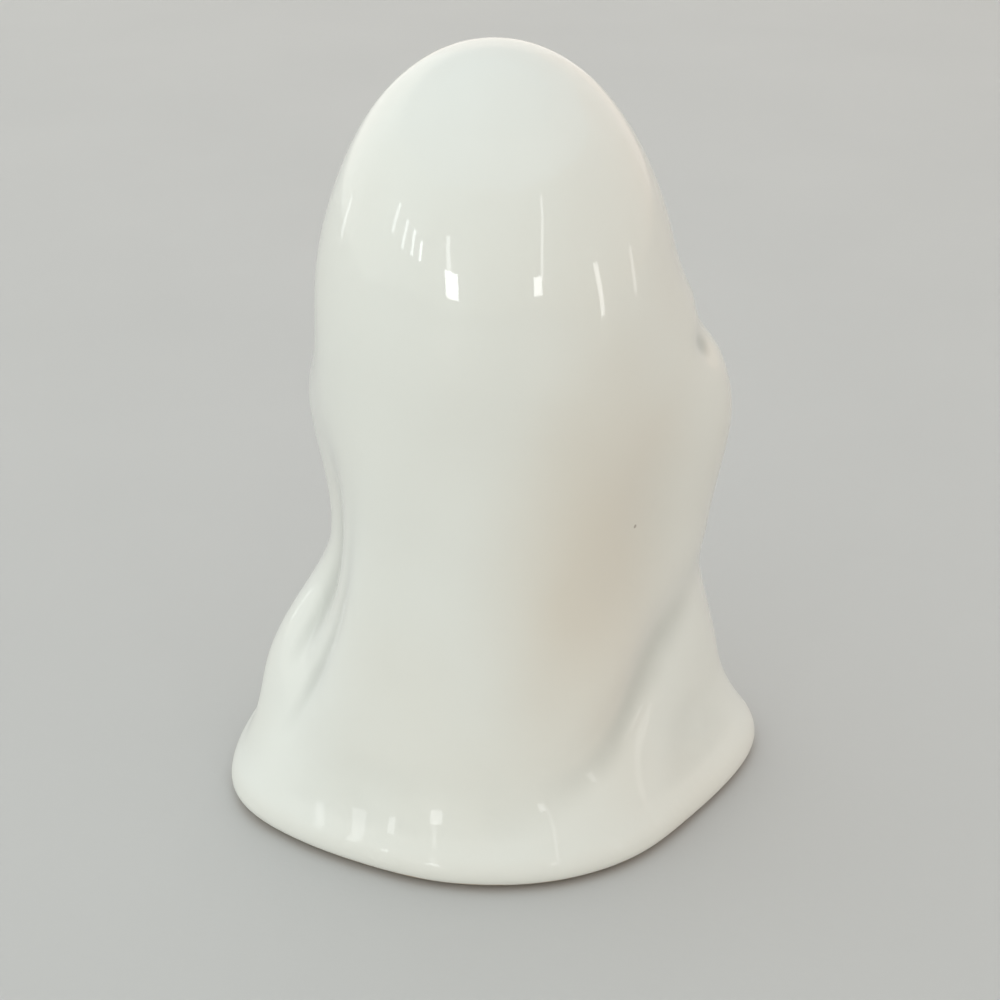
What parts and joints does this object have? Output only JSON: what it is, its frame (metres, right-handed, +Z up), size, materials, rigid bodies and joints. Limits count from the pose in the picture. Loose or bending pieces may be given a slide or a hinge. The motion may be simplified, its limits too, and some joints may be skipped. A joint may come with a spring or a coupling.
{
  "type": "ceramic ghost figure",
  "caption": "Hollow glazed ceramic ghost: a sheet draped over a round head and raised arms, with side folds, a flared rolled hem, a black-glazed face and felt foot pads.",
  "frame": {"origin": "middle of the footprint, on the surface that the pads stand on", "axes": "+Z up, the face towards -Y, the figure's left towards +X"},
  "size_m": [0.1296, 0.1072, 0.18],
  "materials": {
    "white_glaze": "glossy white glaze on earthenware",
    "black_glaze": "glossy black glaze",
    "felt": "pressed grey felt"
  },
  "bodies": {
    "root": {"ghost_shell": "white_glaze", "left_eye": "black_glaze", "right_eye": "black_glaze", "mouth": "black_glaze", "front_left_pad": "felt", "front_right_pad": "felt", "back_left_pad": "felt", "back_right_pad": "felt"}
  },
  "joints": []
}
